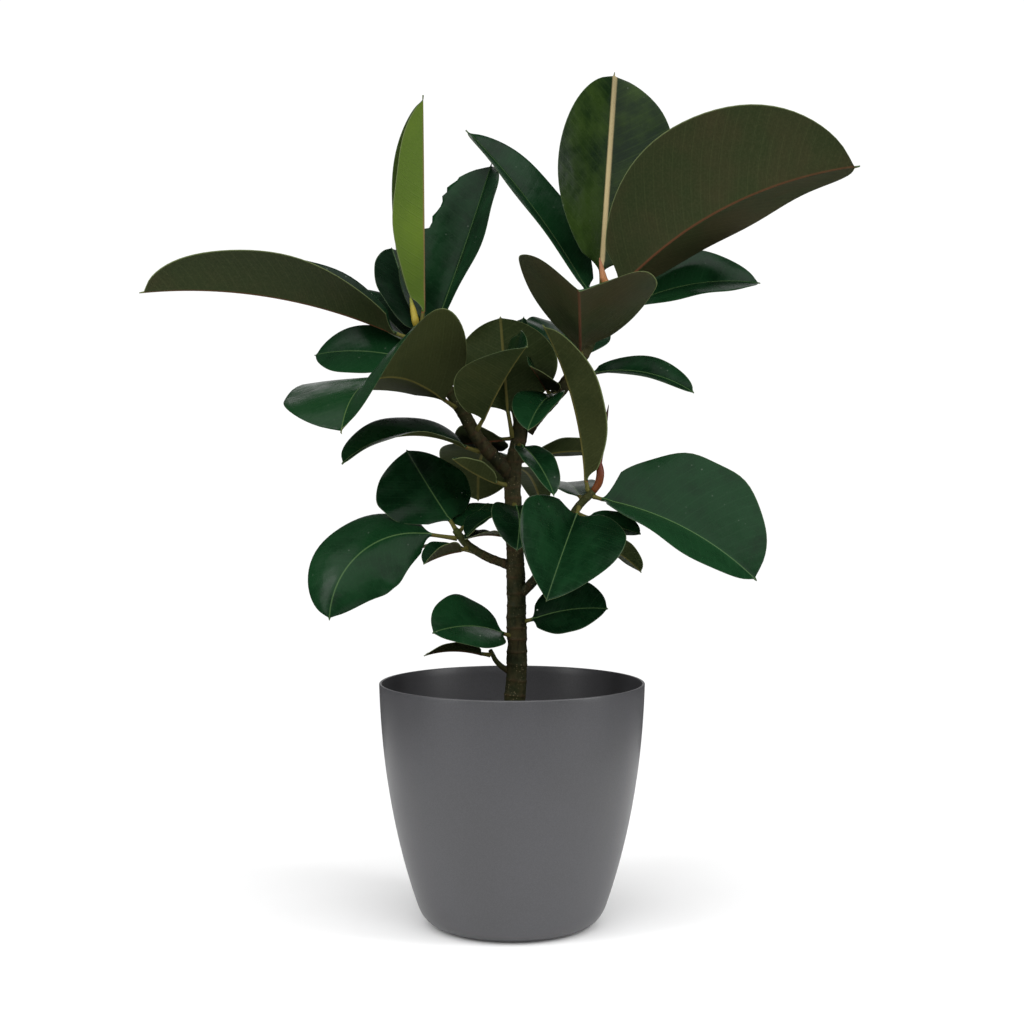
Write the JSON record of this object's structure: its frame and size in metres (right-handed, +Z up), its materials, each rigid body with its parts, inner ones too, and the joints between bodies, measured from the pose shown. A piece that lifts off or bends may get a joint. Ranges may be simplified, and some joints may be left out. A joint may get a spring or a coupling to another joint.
{
  "type": "potted rubber plant",
  "caption": "Rubber plant with a forked woody trunk, large glossy leathery leaves and pointed bud sheaths, growing from soil in a round tapered grey planter.",
  "frame": {"origin": "centre of the planter's flat base", "axes": "+Z up along the planter's axis; the plant's front faces -Y and its longest leaves spread along X"},
  "size_m": [0.7675, 0.3317, 0.954],
  "materials": {
    "planter": "satin mid grey, smooth moulded",
    "soil": null,
    "bark": "green-brown bark with leaf-scar rings",
    "leaf": "leathery, glossy dark green above, paler matt olive below",
    "young_leaf": "young leaf, yellow-green with a cream midrib",
    "bud": "satin dark red bud sheath"
  },
  "bodies": {
    "root": {"planter": "planter", "soil": "soil", "trunk": "bark", "left_branch": "bark", "right_branch": "bark", "lower_right_shoot": "bark", "lower_left_shoot": "bark", "low_twig": "bark", "left_branch_bud": "bud", "left_branch_leaf_01": "leaf", "left_branch_leaf_02": "young_leaf", "left_branch_leaf_03": "leaf", "left_branch_leaf_04": "leaf", "left_branch_leaf_05": "leaf", "left_branch_leaf_06": "leaf", "left_branch_leaf_07": "leaf", "left_branch_leaf_08": "leaf", "left_branch_leaf_09": "leaf", "left_branch_leaf_10": "leaf", "low_twig_leaf_01": "leaf", "lower_left_shoot_leaf_01": "leaf", "lower_left_shoot_leaf_02": "leaf", "lower_left_shoot_leaf_03": "leaf", "lower_left_shoot_leaf_04": "leaf", "lower_left_shoot_leaf_05": "leaf", "lower_right_shoot_bud": "bud", "lower_right_shoot_leaf_01": "leaf", "lower_right_shoot_leaf_02": "leaf", "lower_right_shoot_leaf_03": "leaf", "lower_right_shoot_leaf_04": "leaf", "lower_right_shoot_leaf_05": "leaf", "lower_right_shoot_leaf_06": "leaf", "right_branch_bud": "bud", "right_branch_leaf_01": "leaf", "right_branch_leaf_02": "leaf", "right_branch_leaf_03": "leaf", "right_branch_leaf_04": "leaf", "right_branch_leaf_05": "leaf", "right_branch_leaf_06": "leaf", "right_branch_leaf_07": "leaf", "right_branch_leaf_08": "leaf", "right_branch_leaf_09": "leaf", "trunk_leaf_01": "leaf", "trunk_leaf_02": "leaf", "trunk_leaf_03": "leaf", "trunk_leaf_04": "leaf", "trunk_leaf_05": "leaf", "trunk_leaf_06": "leaf", "trunk_leaf_07": "leaf", "trunk_leaf_08": "leaf", "trunk_leaf_09": "leaf", "trunk_leaf_10": "leaf", "trunk_leaf_11": "leaf", "trunk_leaf_12": "leaf"}
  },
  "joints": []
}
